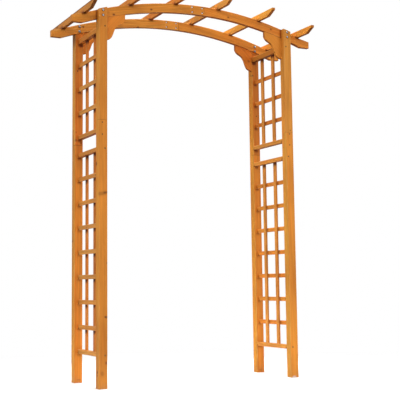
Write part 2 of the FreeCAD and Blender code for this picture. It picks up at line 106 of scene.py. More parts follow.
# ---- node helper --------------------------------------------------------
class Graph:
    """A material's node tree, built from expressions."""

    def __init__(self, name):
        self.mat = bpy.data.materials.new(name)
        self.mat.use_nodes = True
        self.tree = self.mat.node_tree
        self.tree.nodes.clear()

    def node(self, kind, **settings):
        n = self.tree.nodes.new(kind)
        for key, value in settings.items():
            setattr(n, key, value)
        return n

    def put(self, socket, value):
        if isinstance(value, bpy.types.NodeSocket):
            self.tree.links.new(value, socket)
        else:
            socket.default_value = value

    def math(self, op, a, b=None, c=None, clamp=False):
        n = self.node("ShaderNodeMath", operation=op, use_clamp=clamp)
        for socket, value in zip(n.inputs, (a, b, c)):
            if value is not None:
                self.put(socket, value)
        return n.outputs[0]

    def vec(self, op, a, b=None, scale=None):
        n = self.node("ShaderNodeVectorMath", operation=op)
        self.put(n.inputs[0], a)
        if b is not None:
            self.put(n.inputs[1], b)
        if scale is not None:
            self.put(n.inputs["Scale"], scale)
        return n.outputs["Value" if op in ("LENGTH", "DOT_PRODUCT") else "Vector"]

    def split(self, vector):
        n = self.node("ShaderNodeSeparateXYZ")
        self.put(n.inputs[0], vector)
        return n.outputs[0], n.outputs[1], n.outputs[2]

    def join(self, x, y, z):
        n = self.node("ShaderNodeCombineXYZ")
        for socket, value in zip(n.inputs, (x, y, z)):
            self.put(socket, value)
        return n.outputs[0]

    def noise(self, vector, stretch, detail=2.0, rough=0.5, distort=0.0, colour=False):
        """Noise with its own frequency along each axis, in cycles per metre."""
        n = self.node("ShaderNodeTexNoise")
        self.put(n.inputs["Vector"], self.vec("MULTIPLY", vector, stretch))
        n.inputs["Scale"].default_value = 1.0
        n.inputs["Detail"].default_value = detail
        n.inputs["Roughness"].default_value = rough
        n.inputs["Distortion"].default_value = distort
        return n.outputs[1 if colour else 0]

    def span(self, value, a, b, c=0.0, d=1.0, soft=True):
        n = self.node("ShaderNodeMapRange", interpolation_type="SMOOTHSTEP" if soft else "LINEAR")
        for socket, v in zip(n.inputs, (value, a, b, c, d)):
            self.put(socket, v)
        return n.outputs[0]

    def ramp(self, fac, stops, mode="LINEAR"):
        n = self.node("ShaderNodeValToRGB")
        n.color_ramp.interpolation = mode
        el = n.color_ramp.elements
        while len(el) < len(stops):
            el.new(0.5)
        for e, (at, colour) in zip(el, stops):
            e.position = at
            e.color = (*colour, 1.0) if len(colour) == 3 else colour
        self.put(n.inputs[0], fac)
        return n.outputs[0]

    def mix(self, fac, a, b, blend="MIX"):
        n = self.node("ShaderNodeMix", data_type="RGBA", blend_type=blend)
        for i, value in ((0, fac), (6, a), (7, b)):
            if isinstance(value, tuple) and len(value) == 3:
                value = (*value, 1.0)
            self.put(n.inputs[i], value)
        return n.outputs[2]

    def shader(self, colour, rough, normal=None, **constants):
        out = self.node("ShaderNodeOutputMaterial")
        p = self.node("ShaderNodeBsdfPrincipled")
        self.put(p.inputs["Base Color"], colour)
        self.put(p.inputs["Roughness"], rough)
        if normal is not None:
            self.put(p.inputs["Normal"], normal)
        for key, value in constants.items():
            p.inputs[key.replace("_", " ")].default_value = value
        self.tree.links.new(p.outputs[0], out.inputs[0])
        return self.mat


# ---- wood ---------------------------------------------------------------
# Tones of the stain, each as (pale early wood, dark late wood), linear.
TONES = {
    "honey": ((0.640, 0.262, 0.040), (0.420, 0.142, 0.019)),
    "amber": ((0.640, 0.240, 0.031), (0.420, 0.124, 0.014)),
    "copper": ((0.640, 0.219, 0.027), (0.420, 0.112, 0.012)),
    "russet": ((0.640, 0.200, 0.024), (0.420, 0.100, 0.010)),
}
KNOT_CORE = (0.085, 0.026, 0.009)
KNOT_RIM = (0.235, 0.070, 0.016)
WORN = (0.700, 0.370, 0.130)
END_TINT = (0.60, 0.50, 0.42)
SOIL = (0.250, 0.185, 0.120)
SCUFFED = (0.560, 0.500, 0.470)
# painted shade: the tint laid in corners and under parts
PAINTED_SHADE = (0.30, 0.18, 0.13)
# painted shade on undersides, which face away from the light
UNDERSIDE_SHADE = (0.46, 0.37, 0.31)

Z_GRAIN = Matrix(((1, 0, 0), (0, 1, 0), (0, 0, 1)))
Y_GRAIN = Matrix(((0, 0, 1), (1, 0, 0), (0, 1, 0)))


def slope_grain(angle):
    """Grain in the XZ plane at an angle to +X; rows are across, across, along."""
    c, s = math.cos(angle), math.sin(angle)
    return Matrix(((0, 1, 0), (-s, 0, c), (c, 0, s)))


def wood(name, seed, centre, axes, tone, pith, ring, knots=(), edges=None, seams=None,
         foot=False, mirror_y=0.0, contrast=1.0, shade=1.0, light_and_stain_drift=None, end_span=(0.30, 0.75),
         faces=(), seam_dark=0.72, shadows=None, painted_shade_tint=PAINTED_SHADE):
    """Stained softwood. The growth rings run round a pith line beside the piece, the
    fibres along its grain. Knots are (across, across, along, direction, radius[, depth]).
    Faces are (outward direction, tint) pairs of painted light and shade on the sides facing that way;
    shadows gives how much painted shade lies in corners and under parts, from 0 to 1, the last argument its tint."""
    rnd = random.Random(seed)
    g = Graph(name)
    coords = g.node("ShaderNodeTexCoord")
    place = coords.outputs["Object"]
    if mirror_y:
        # two sticks in one piece: fold them on to each other, far apart along the grain
        x, y, z = g.split(place)
        z = g.math("MULTIPLY_ADD", g.math("SIGN", y), 7.3, z)
        place = g.join(x, g.math("SUBTRACT", g.math("ABSOLUTE", y), mirror_y), z)
    m = g.node("ShaderNodeMapping", vector_type="POINT")
    g.put(m.inputs["Vector"], place)
    m.inputs["Rotation"].default_value = axes.to_euler()
    m.inputs["Location"].default_value = -(axes @ Vector(centre))
    local = m.outputs[0]
    shift = Vector((rnd.uniform(-9, 9), rnd.uniform(-9, 9), rnd.uniform(-9, 9)))
    free = g.vec("ADD", local, tuple(shift))

    # slow drift of the grain, then small waves
    slow = g.vec("SUBTRACT", g.noise(free, (2.1, 2.1, 1.5), 1.0, colour=True), (0.5, 0.5, 0.5))
    quick = g.vec("SUBTRACT", g.noise(free, (24.0, 24.0, 5.0), 2.0, colour=True), (0.5, 0.5, 0.5))
    wander = g.vec("ADD", g.vec("MULTIPLY", slow, (0.030, 0.030, 0.0)),
                   g.vec("MULTIPLY", quick, (0.0034, 0.0034, 0.0)))
    rings_at = g.vec("MULTIPLY", g.vec("ADD", local, wander), (1.0, 1.0, 0.0))
    radius = g.vec("LENGTH", g.vec("SUBTRACT", rings_at, (pith[0], pith[1], 0.0)))

    # knots: branch stubs that cross the grain, with the rings bent round them
    core = rim = None
    for ku, kv, kg, way, size, *depth in knots:
        d = Vector(way).normalized()
        rough_at = g.vec("ADD", local, g.vec("MULTIPLY", quick, (0.005, 0.005, 0.009)))
        off = g.vec("SUBTRACT", rough_at, (ku, kv, kg))
        along = g.vec("DOT_PRODUCT", off, tuple(d))
        flat = g.vec("SUBTRACT", off, g.vec("SCALE", tuple(d), scale=along))
        dist = g.vec("LENGTH", g.vec("MULTIPLY", flat, (1.0, 1.0, 0.72)))
        # a stub ends inside the piece
        dist = g.math("ADD", dist, g.math("MULTIPLY", g.math("MAXIMUM", g.math(
            "SUBTRACT", g.math("ABSOLUTE", along), 0.024 if size > 0.004 else 0.012), 0.0), 1.2))
        depth = depth[0] if depth else 1.0
        c = g.span(dist, size * 1.02, size * 0.62, 0.0, depth)
        r = g.span(dist, size * 2.1, size * 0.85, 0.0, depth)
        swell = g.span(dist, size * 4.2, size * 0.5, 0.0, size * 0.75)
        radius = g.math("ADD", radius, swell)
        core = c if core is None else g.math("MAXIMUM", core, c)
        rim = r if rim is None else g.math("MAXIMUM", rim, r)

    beat = g.node("ShaderNodeTexNoise", noise_dimensions="1D")
    g.put(beat.inputs["W"], g.math("MULTIPLY_ADD", radius, 70.0, seed * 1.37))
    beat.inputs["Scale"].default_value = 1.0
    beat.inputs["Detail"].default_value = 1.0
    phase = g.math("MULTIPLY_ADD", beat.outputs[0], 1.7, g.math("DIVIDE", radius, ring))
    late = g.ramp(g.math("FRACT", phase), (
        (0.0, (0.10, 0.10, 0.10)), (0.30, (0.0, 0.0, 0.0)), (0.62, (0.35, 0.35, 0.35)),
        (0.86, (1.0, 1.0, 1.0)), (0.95, (0.85, 0.85, 0.85)), (1.0, (0.10, 0.10, 0.10))))
    late = g.math("MULTIPLY", late, 1.0)

    fibre = g.noise(free, (1500.0, 1500.0, 26.0), 2.0, 0.6)
    streak = g.noise(free, (190.0, 190.0, 3.4), 3.0, 0.55)
    band = g.noise(free, (34.0, 34.0, 1.7), 3.0, 0.55)
    blotch = g.noise(free, (7.0, 7.0, 2.6), 3.0, 0.5)

    pale, dark = (tuple(shade * c for c in t) for t in TONES[tone])
    grain = g.math("MULTIPLY", late, g.span(band, 0.25, 0.75, 0.30 * contrast, 0.74 * contrast))
    colour = g.mix(grain, pale, dark)
    # redder and browner drifts in the stain
    colour = g.mix(g.span(blotch, 0.42, 0.74, 0.0, 0.42), colour, g.mix(0.5, pale, dark, "MULTIPLY"))
    reds = g.noise(free, (95.0, 95.0, 2.6), 2.0, 0.5)
    colour = g.mix(g.span(reds, 0.52, 0.72, 0.0, 0.62 * contrast), colour, g.mix(1.0, colour, (1.0, 0.80, 0.66), "MULTIPLY"))
    value = g.math("MULTIPLY_ADD", fibre, 0.20, 0.90)
    value = g.math("MULTIPLY", value, g.span(streak, 0.28, 0.72, 1.0 - 0.16 * contrast, 1.0 + 0.10 * contrast))
    value = g.math("MULTIPLY", value, g.span(band, 0.25, 0.78, 1.0 + 0.08 * contrast, 1.0 - 0.10 * contrast))
    value = g.math("MULTIPLY", value, g.span(blotch, 0.25, 0.75, 1.07, 0.93))
    if light_and_stain_drift:
        # painted light and shade along the piece, partly uneven stain: (place along the grain, strength) pairs
        first, last = light_and_stain_drift[0][0], light_and_stain_drift[-1][0]
        reach = g.span(g.split(local)[2], first, last, soft=False)
        took = g.ramp(reach, [((at - first) / (last - first), (k / 2, k / 2, k / 2)) for at, k in light_and_stain_drift])
        value = g.math("MULTIPLY", value, g.math("MULTIPLY", took, 2.0))
    colour = g.mix(1.0, colour, g.join(value, value, value), "MULTIPLY")

    rough = g.math("MULTIPLY_ADD", fibre, 0.16, 0.50)
    rough = g.math("MULTIPLY_ADD", late, -0.06, rough)
    height = g.math("MULTIPLY_ADD", late, 0.50, g.math("MULTIPLY", fibre, 0.55))
    height = g.math("MULTIPLY_ADD", streak, 0.60, height)

    if core is not None:
        colour = g.mix(g.math("MULTIPLY", rim, 0.62), colour, KNOT_RIM)
        colour = g.mix(g.math("MULTIPLY", core, 0.92), colour, KNOT_CORE)
        height = g.math("MULTIPLY_ADD", core, -0.9, height)
        rough = g.math("MULTIPLY_ADD", core, 0.16, rough)

    if edges is not None:
        # rubbed long edges; edges gives two distances from the middle and their half sizes
        a, b = edges(g, place, local)
        rub = g.math("MULTIPLY", g.span(a, 0.0042, 0.0004), g.span(b, 0.0042, 0.0004))
        patchy = g.noise(free, (60.0, 60.0, 9.0), 3.0, 0.6)
        rub = g.math("MULTIPLY", rub, g.span(patchy, 0.42, 0.70, 0.10, 0.75))
        colour = g.mix(rub, colour, WORN)
        rough = g.math("MULTIPLY_ADD", rub, 0.12, rough)

    # painted light and shade on the sides that face a given way
    for way, tint in faces:
        side = g.span(g.vec("DOT_PRODUCT", coords.outputs["Normal"], way), 0.45, 0.80)
        colour = g.mix(side, colour, g.mix(1.0, colour, tint, "MULTIPLY"))

    # painted shade in corners, under parts and round fastener heads, as the shadows mask gives it
    if shadows is not None:
        colour = g.mix(shadows(g, coords.outputs["Object"], coords.outputs["Normal"]), colour,
                       g.mix(1.0, colour, painted_shade_tint, "MULTIPLY"))

    # end grain drinks more stain
    facing = g.math("ABSOLUTE", g.vec("DOT_PRODUCT", coords.outputs["Normal"], tuple(axes[2])))
    end = g.span(facing, *end_span)
    colour = g.mix(g.math("MULTIPLY", end, 0.85), colour, g.mix(1.0, colour, END_TINT, "MULTIPLY"))
    rough = g.math("MULTIPLY_ADD", end, 0.14, rough)

    if seams is not None:
        joint = g.span(seams(g, place), 0.0019, 0.0005)
        colour = g.mix(g.math("MULTIPLY", joint, seam_dark), colour, g.mix(1.0, colour, (0.20, 0.15, 0.12), "MULTIPLY"))
        height = g.math("MULTIPLY_ADD", joint, -2.0, height)

    if foot:
        # splashed and scuffed just above the ground
        low = g.split(coords.outputs["Object"])[2]
        wet = g.noise(free, (22.0, 22.0, 16.0), 4.0, 0.6)
        soil = g.math("MULTIPLY", g.span(g.math("MULTIPLY_ADD", wet, -0.060, low), 0.030, -0.028),
                      g.span(wet, 0.40, 0.66, 0.04, 0.20))
        colour = g.mix(soil, colour, SOIL)
        if foot is not True:
            # a rubbed, greyed patch at the bottom edge
            spot = g.vec("LENGTH", g.vec("MULTIPLY", g.vec("SUBTRACT", local, foot), (1.0, 1.0, 1.5)))
            spot = g.span(g.math("MULTIPLY_ADD", wet, 0.012, spot), 0.024, 0.012, 0.0, 0.72)
            colour = g.mix(spot, colour, SCUFFED)
            soil = g.math("MAXIMUM", soil, spot)
        rough = g.math("MULTIPLY_ADD", soil, 0.22, rough)

    bump = g.node("ShaderNodeBump")
    bump.inputs["Strength"].default_value = 0.42
    bump.inputs["Distance"].default_value = 0.0005
    g.put(bump.inputs["Height"], height)
    return g.shader(colour, rough, bump.outputs[0], Specular_IOR_Level=0.12)


def box_edges(cu, cv, hu, hv, axis_u, axis_v):
    """Distances below the surface, across two axes of the frame, of a straight stick."""
    def distances(g, place, local):
        s = g.split(place)
        return (g.math("SUBTRACT", hu, g.math("ABSOLUTE", g.math("SUBTRACT", s[axis_u], cu))),
                g.math("SUBTRACT", hv, g.math("ABSOLUTE", g.math("SUBTRACT", s[axis_v], cv))))
    return distances


def local_edges(hu, hv):
    def distances(g, place, local):
        s = g.split(local)
        return (g.math("SUBTRACT", hu, g.math("ABSOLUTE", s[0])),
                g.math("SUBTRACT", hv, g.math("ABSOLUTE", s[1])))
    return distances


ARC_CENTRE, ARC_TOP_R = 0.1065, 2.015
LOW_CENTRE, LOW_R = 0.0440, 2.025


def arc_edges(cy, hy):
    def distances(g, place, local):
        x, y, z = g.split(place)
        upper = g.vec("LENGTH", g.join(x, 0.0, g.math("SUBTRACT", z, ARC_CENTRE)))
        lower = g.vec("LENGTH", g.join(x, 0.0, g.math("SUBTRACT", z, LOW_CENTRE)))
        return (g.math("MINIMUM", g.math("SUBTRACT", ARC_TOP_R, upper), g.math("SUBTRACT", lower, LOW_R)),
                g.math("SUBTRACT", hy, g.math("ABSOLUTE", g.math("SUBTRACT", y, cy))))
    return distances


LAP_LOW, LAP_HIGH, LAP_MID = 1.330, 1.417, 0.193


def post_seams(g, place):
    """Distance to the half lap's joint lines on a post."""
    x, y, z = g.split(place)
    y = g.math("ABSOLUTE", y)
    a = g.math("ADD", g.math("ABSOLUTE", g.math("SUBTRACT", z, LAP_HIGH)), g.math("LESS_THAN", y, LAP_MID - 0.001))
    b = g.math("ADD", g.math("ABSOLUTE", g.math("SUBTRACT", z, LAP_LOW)), g.math("GREATER_THAN", y, LAP_MID + 0.001))
    c = g.math("ADD", g.math("ABSOLUTE", g.math("SUBTRACT", y, LAP_MID)),
               g.math("GREATER_THAN", g.math("ABSOLUTE", g.math("SUBTRACT", z, (LAP_LOW + LAP_HIGH) / 2)),
                      (LAP_HIGH - LAP_LOW) / 2 + 0.0005))
    return g.math("MINIMUM", a, g.math("MINIMUM", b, c))


def beam_seams(cy):
    def distance(g, place):
        """Distance to the mid-span half lap's joint lines on a beam."""
        x, y, z = g.split(place)
        front = g.math("LESS_THAN", y, cy + 0.0006)
        rear = g.math("GREATER_THAN", y, cy - 0.0006)
        a = g.math("ADD", g.math("ABSOLUTE", g.math("SUBTRACT", x, 0.048)), g.math("SUBTRACT", 1.0, front))
        b = g.math("ADD", g.math("ABSOLUTE", g.math("ADD", x, 0.048)), g.math("SUBTRACT", 1.0, rear))
        c = g.math("ADD", g.math("ABSOLUTE", g.math("SUBTRACT", y, cy)),
                   g.math("GREATER_THAN", g.math("ABSOLUTE", x), 0.0485))
        return g.math("MINIMUM", a, g.math("MINIMUM", b, c))
    return distance


# rafters: x, tone, strength of the stain, painted light and shade from the front end to the rear end, painted light on
# the left face
RAFTERS = (
    ("far_left", -0.682, "honey", 1.03, ((-0.36, 0.76), (-0.20, 0.97), (0.36, 0.97)), (1.0, 0.97, 0.96)),
    ("mid_left", -0.411, "amber", 1.08, ((-0.36, 0.94), (-0.22, 1.0), (0.36, 1.0)), (1.0, 1.0, 1.0)),
    ("near_left", -0.1345, "copper", 1.10, ((-0.36, 1.04), (-0.20, 1.0), (0.36, 1.0)), (1.0, 1.05, 1.0)),
    ("near_right", 0.1385, "honey", 1.05, ((-0.36, 1.30), (-0.20, 1.02), (0.36, 1.0)), (1.0, 1.09, 1.12)),
    ("mid_right", 0.408, "honey", 1.28, ((-0.36, 1.06), (-0.20, 1.0), (0.36, 1.0)), (1.02, 1.14, 1.0)),
    ("far_right", 0.672, "amber", 1.02, ((-0.36, 1.18), (-0.20, 1.06), (0.36, 1.0)), (1.0, 1.06, 0.93)),
)
# cross slats and rails follow each other at an even pitch in both sections of a side
SECTIONS = ((0.170, 0.13725, 0.0, 1.315), (1.372, 0.13925, 1.315, 2.0))


def under_slats(g, z, reach, full=0.0):
    """1 just below a cross slat or rail as far as full, then fading out as far as the reach."""
    total = None
    for first, pitch, low, high in SECTIONS:
        below = g.math("MULTIPLY", g.math("FRACT", g.math("MULTIPLY_ADD", z, -1.0 / pitch, (first - 0.0118) / pitch)), pitch)
        here = g.math("MULTIPLY", g.math("GREATER_THAN", z, low), g.math("LESS_THAN", z, high))
        m = g.math("MULTIPLY", g.span(below, reach, full), here)
        total = m if total is None else g.math("MAXIMUM", total, m)
    return total


BOLTS = (1.993, 2.022)


def rings(g, x, y, z, spots, half):
    """1 round the heads of fasteners that go in along y: (x, z, head radius), on one side of y = half."""
    total = None
    for at_x, at_z, size in spots:
        d = g.vec("LENGTH", g.join(g.math("SUBTRACT", x, at_x), 0.0, g.math("SUBTRACT", z, at_z)))
        m = g.span(d, size + 0.0042, size + 0.0004)
        total = m if total is None else g.math("MAXIMUM", total, m)
    return g.math("MULTIPLY", total, g.math("LESS_THAN", y, half))


def post_corners(sy):
    def amount(g, place, normal):
        """Painted shade in the corners under slat and rail ends, on the post's face towards the lattice, with painted
        shadow round the front bolt heads and under the rear beam.
        """
        x, y, z = g.split(place)
        near = g.span(g.math("ABSOLUTE", g.math("SUBTRACT", g.math("ABSOLUTE", x), 0.582)), 0.015, 0.006)
        face = g.span(g.math("MULTIPLY", y, float(sy)), 0.1712, 0.1694)
        much = g.math("MULTIPLY", under_slats(g, z, 0.020), g.span(z, 0.75, 1.30, 0.38, 0.92))
        much = g.math("MULTIPLY", g.math("MULTIPLY", near, face), much)
        if sy < 0:
            # painted shadow rings round the front posts' bolt heads
            heads = [(sx * 0.585, z, 0.0065) for sx in (-1, 1) for z in BOLTS]
            much = g.math("MAXIMUM", much, g.math("MULTIPLY", rings(g, x, y, z, heads, -0.205), 0.70))
        else:
            # painted shade on the rear left post's left face just under the beam
            under_beam = g.math("MULTIPLY", g.span(x, -0.6070, -0.6086), g.span(z, 1.87, 1.95, 0.0, 0.62))
            much = g.math("MAXIMUM", much, under_beam)
            # painted shade under the ends of the top rails
            off = g.vec("LENGTH", g.join(g.math("SUBTRACT", g.math("ABSOLUTE", x), 0.5735), 0.0,
                                         g.math("MULTIPLY", g.math("SUBTRACT", z, 1.911), 1.5)))
            much = g.math("MAXIMUM", much, g.math("MULTIPLY", g.span(off, 0.021, 0.006, 0.0, 0.97), face))
        return much
    return amount


def end_corners(cz, half, crossings=0.0):
    def amount(g, place, normal):
        """Painted shade in the lower corners of a slat or rail where it meets the posts, and painted shadow beside its
        crossings on the front side.
        """
        x, y, z = g.split(place)
        end = g.span(g.math("SUBTRACT", 0.169, g.math("ABSOLUTE", y)), 0.020, 0.001)
        low = g.span(g.math("SUBTRACT", z, cz - half), 1.5 * half, 0.2 * half)
        much = g.math("MULTIPLY", g.math("MULTIPLY", end, low), 0.80)
        if crossings:
            for upright in (-0.063, 0.063):
                off = g.math("SUBTRACT", upright - 0.0135, y)
                m = g.math("MULTIPLY", g.span(off, 0.024, 0.001, 0.0, crossings), g.math("GREATER_THAN", off, -0.003))
                much = g.math("MAXIMUM", much, m)
        return much
    return amount


def upright_corners(g, place, normal):
    """Painted shadow on upright slats just below the cross slats, which lie on their outer faces, and the rails."""
    x, y, z = g.split(place)
    outer = g.span(g.math("ABSOLUTE", x), 0.5735, 0.5775)
    for low, high in ((1.225, 1.262), (1.885, 1.922)):
        rail = g.math("MULTIPLY", g.math("GREATER_THAN", z, low), g.math("LESS_THAN", z, high))
        outer = g.math("MAXIMUM", outer, rail)
    dark = g.math("MULTIPLY", g.math("MULTIPLY", under_slats(g, z, 0.030, 0.007), outer), 0.97)
    # painted shade on the one by the front left post, below the lap
    post_shade = g.math("MULTIPLY", g.math("LESS_THAN", x, 0.0), g.math("LESS_THAN", y, 0.0))
    post_shade = g.math("MULTIPLY", post_shade, g.math("LESS_THAN", z, 1.3))
    return g.math("MAXIMUM", dark, g.math("MULTIPLY", post_shade, 0.20))


def rafter_corners(low, arris=None):
    def amount(g, place, normal):
        """Painted shade at the foot of a rafter beside the beams; arris is the x of a left side with a painted dark
        line of shade along its upper edge.
        """
        x, y, z = g.split(place)
        off = g.math("SUBTRACT", g.math("ABSOLUTE", g.math("SUBTRACT", g.math("ABSOLUTE", y), 0.176)), 0.013)
        low_part = g.span(g.math("SUBTRACT", z, low), 0.018, 0.002)
        much = g.math("MULTIPLY", g.math("MULTIPLY", g.span(off, 0.030, 0.002), low_part), 0.95)
        if arris is not None:
            dark = g.math("MULTIPLY", g.span(x, arris + 0.004, arris + 0.001),
                          g.span(g.math("SUBTRACT", low + 0.038, z), 0.0090, 0.0035, 0.0, 0.80))
            much = g.math("MAXIMUM", much, dark)
        return much
    return amount


def beam_corners(cy):
    def amount(g, place, normal):
        """Painted shade on the top edge of a beam under the rafters and beside the left faces of the posts, and painted
        shadow round heads.
        """
        x, y, z = g.split(place)
        upper = g.vec("LENGTH", g.join(x, 0.0, g.math("SUBTRACT", z, ARC_CENTRE)))
        total = None
        for name, at, tone, shade, light_and_stain_drift, left in RAFTERS:
            m = g.span(g.math("ABSOLUTE", g.math("SUBTRACT", x, at)), 0.022, 0.009)
            total = m if total is None else g.math("MAXIMUM", total, m)
        total = g.math("MULTIPLY", total, g.span(g.math("SUBTRACT", ARC_TOP_R, upper), 0.017, 0.002))
        for edge in (-0.609, 0.561):
            m = g.math("MULTIPLY", g.span(g.math("SUBTRACT", edge, x), 0.016, 0.001),
                       g.math("LESS_THAN", x, edge + 0.002))
            m = g.math("MULTIPLY", m, g.math("GREATER_THAN", g.math("ABSOLUTE", y), 0.180))
            total = g.math("MAXIMUM", total, m)
        # painted shadow round the splice screw heads, set off up and towards +x so it shows as a crescent, and round
        # the rear bolt heads
        heads = [(sx * 0.032 + 0.0013, z + 0.0013, 0.0042) for sx in (-1, 1) for z in (2.081, 2.1095)]
        if cy > 0:
            heads += [(-0.585, 1.993, 0.0065), (-0.585, 2.022, 0.0065), (0.5805, 1.989, 0.0065), (0.5805, 2.018, 0.0065)]
        total = g.math("MAXIMUM", total, g.math("MULTIPLY", rings(g, x, y, z, heads, cy), 0.85))
        return g.math("MULTIPLY", total, 0.92)
    return amount


def dress(node, material):
    mesh = nodes[node].data
    mesh.materials.clear()
    mesh.materials.append(material)


SIDES = (("left", -1), ("right", 1))
ENDS = (("front", -1), ("rear", 1))
pick = random.Random(20417)


def far_pith(near, far):
    """A pith line at some distance, in any direction across the grain."""
    a, r = pick.uniform(0, 2 * math.pi), pick.uniform(near, far)
    return (r * math.cos(a), r * math.sin(a))


# knots on the posts: across x, across y, height, direction, radius
POST_KNOTS = {
    "post_front_left_lower": (
        (-0.0240, 0.0145, 1.181, (1, 0.1, 0.05), 0.0062), (-0.0090, -0.0225, 1.020, (1, 0.05, 0.22), 0.0075, 0.34),
        (0.0150, -0.0225, 1.0262, (1, 0.05, 0.20), 0.0036, 0.70),
        (0.0215, -0.0240, 0.652, (0.2, 1, 0.1), 0.0030, 0.7), (0.0195, -0.0235, 0.371, (1, 0.3, 0), 0.0032),
        (0.0165, -0.0240, 0.134, (0.3, 1, 0), 0.0046, 0.70), (-0.0240, 0.0000, 0.085, (1, 0, 0.1), 0.0056),
        (-0.0240, 0.0010, 0.069, (1, 0, 0.1), 0.0040, 0.8), (-0.006, -0.0240, 0.078, (0.3, 1, 0.1), 0.0098, 0.28)),
    "post_front_left_upper": ((0.0240, 0.004, 1.770, (1, 0, 0), 0.0050),),
    "post_rear_left_lower": ((-0.0240, 0.0080, 0.786, (1, 0, 0.1), 0.0050), (0.0240, -0.006, 0.520, (1, 0.2, 0), 0.0055)),
    "post_rear_left_upper": (
        (-0.0080, -0.0240, 1.760, (0, 1, 0), 0.0032), (0.004, 0.0240, 1.600, (0, 1, 0.1), 0.0060),
        (-0.0178, -0.0240, 1.355, (0, 1, 0.1), 0.0048, 0.60), (0.0136, -0.0240, 1.342, (0, 1, 0.1), 0.0050, 0.60),
        (-0.0161, -0.0240, 1.403, (0, 1, 0.1), 0.0036, 0.40)),
    "post_front_right_lower": ((0.0240, 0.004, 0.905, (1, 0, 0), 0.0058),),
    "post_front_right_upper": ((0.0240, -0.010, 1.650, (1, 0, 0), 0.0052), (0.0065, -0.0240, 1.429, (0.1, 1, 0), 0.0030, 0.6)),
    "post_rear_right_lower": ((0.003, 0.0240, 1.010, (0, 1, 0), 0.0060),),
    "post_rear_right_upper": ((-0.0195, -0.0240, 1.834, (0.1, 1, 0), 0.0042), (0.0010, -0.0240, 1.576, (0, 1, 0), 0.0030)),
}
POST_TONES = {
    "post_front_left_lower": "amber", "post_front_left_upper": "amber",
    "post_rear_left_lower": "copper", "post_rear_left_upper": "russet",
    "post_front_right_lower": "amber", "post_front_right_upper": "honey",
    "post_rear_right_lower": "copper", "post_rear_right_upper": "russet",
}
# painted light and shade along each post, partly uneven stain, and painted light and shade on its left face
POST_LIGHT_AND_STAIN_DRIFT = {
    "post_front_left_lower": ((0.0, 0.89), (0.06, 0.83), (0.12, 0.80), (0.35, 0.85), (0.75, 0.98), (1.15, 1.10), (1.45, 1.08)),
    "post_front_left_upper": ((1.3, 1.07), (1.5, 1.07), (1.75, 1.01), (2.15, 1.01)),
    "post_rear_left_lower": ((0.0, 1.13), (0.12, 1.11), (0.35, 1.04), (0.75, 0.98), (1.05, 1.02), (1.45, 1.08)),
    "post_rear_left_upper": ((1.3, 1.16), (1.47, 1.16), (1.72, 0.97), (1.90, 0.88), (2.15, 0.82)),
    "post_front_right_lower": ((0.0, 0.97), (0.12, 0.98), (0.35, 0.96), (0.75, 1.02), (1.15, 1.17), (1.45, 1.11)),
    "post_front_right_upper": ((1.3, 1.13), (1.5, 1.17), (1.75, 1.02), (2.15, 1.02)),
    "post_rear_right_lower": ((0.0, 1.03), (0.12, 1.03), (0.35, 1.00), (0.75, 1.00), (1.05, 1.08), (1.45, 1.03)),
    "post_rear_right_upper": ((1.3, 0.88), (1.47, 0.85), (1.72, 0.94), (2.15, 0.94)),
}
POST_LEFT_PAINTED_LIGHT = {
    "post_front_left_lower": (1.06, 1.13, 0.93), "post_front_left_upper": (1.065, 1.16, 1.03),
    "post_rear_left_lower": (0.94, 1.14, 1.02), "post_rear_left_upper": (1.07, 1.54, 1.68),
    "post_front_right_lower": (0.955, 1.14, 1.15), "post_front_right_upper": (0.94, 0.93, 0.83),
    "post_rear_right_lower": (1.00, 1.22, 1.10), "post_rear_right_upper": (1.10, 1.38, 1.00),
}
# painted light and shade on each post's front face
POST_FRONT_PAINTED_LIGHT = {"front_left": (0.965, 0.930, 0.930), "front_right": (0.995, 0.985, 0.980),
              "rear_left": (1.0, 0.98, 0.97), "rear_right": (1.0, 1.0, 0.96)}
POST_GRAIN = {"front_left": 0.65, "front_right": 0.85, "rear_left": 1.0, "rear_right": 0.85}
POST_SEAM = {"front_left": 0.25, "front_right": 0.15, "rear_left": 0.75, "rear_right": 0.30}
for end, sy in ENDS:
    for side, sx in SIDES:
        for part in ("lower", "upper"):
            node = "post_%s_%s_%s" % (end, side, part)
            dress(node, wood(
                node, pick.randrange(10000), (0.585 * sx, 0.193 * sy, 0.0), Z_GRAIN, POST_TONES[node],
                far_pith(0.018, 0.070), pick.uniform(0.0024, 0.0036), POST_KNOTS[node],
                local_edges(0.024, 0.024), post_seams, light_and_stain_drift=POST_LIGHT_AND_STAIN_DRIFT[node],
                foot=(-0.004, -0.024, 0.002) if node == "post_front_right_lower" else part == "lower",
                faces=(((-1, 0, 0), POST_LEFT_PAINTED_LIGHT[node]), ((0, -1, 0), POST_FRONT_PAINTED_LIGHT["%s_%s" % (end, side)])), seam_dark=POST_SEAM["%s_%s" % (end, side)],
                shadows=post_corners(sy), contrast=POST_GRAIN["%s_%s" % (end, side)]))

